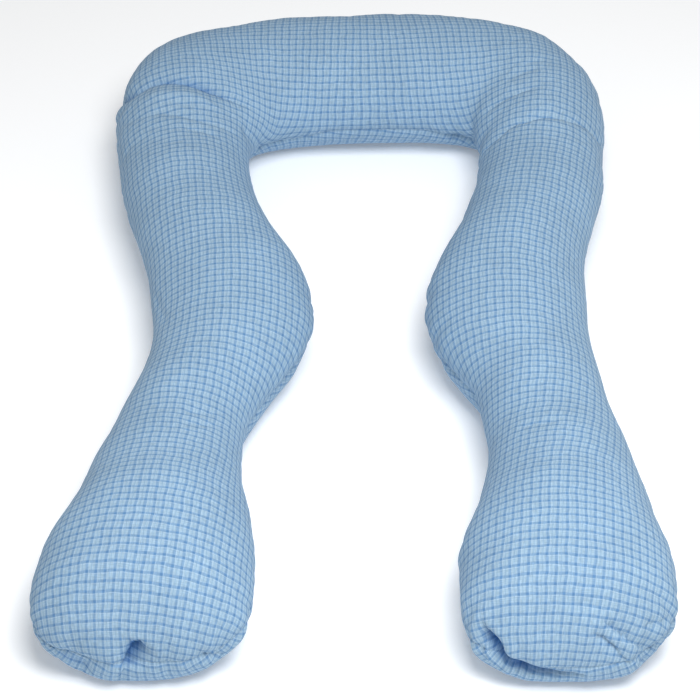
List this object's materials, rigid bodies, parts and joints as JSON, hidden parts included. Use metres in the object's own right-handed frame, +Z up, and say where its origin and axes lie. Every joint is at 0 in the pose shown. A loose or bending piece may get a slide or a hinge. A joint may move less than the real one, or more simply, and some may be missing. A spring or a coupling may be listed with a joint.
{
  "type": "u-shaped nursing pillow",
  "caption": "Full-body U-shaped pillow: one filled cushion with a thick head bar and two contoured legs that bulge inwards, narrow to a neck and end in round feet.",
  "frame": {"origin": "on the surface the pillow lies on, under the middle of its outline", "axes": "+Z up, +Y along the legs from the feet towards the head bar, +X to the right seen from the feet"},
  "size_m": [0.8696, 1.5504, 0.192],
  "materials": {
    "checked_cotton": "soft woven cotton, light blue with a fine mid-blue check, matt"
  },
  "bodies": {
    "root": {"pillow": "checked_cotton"}
  },
  "joints": []
}
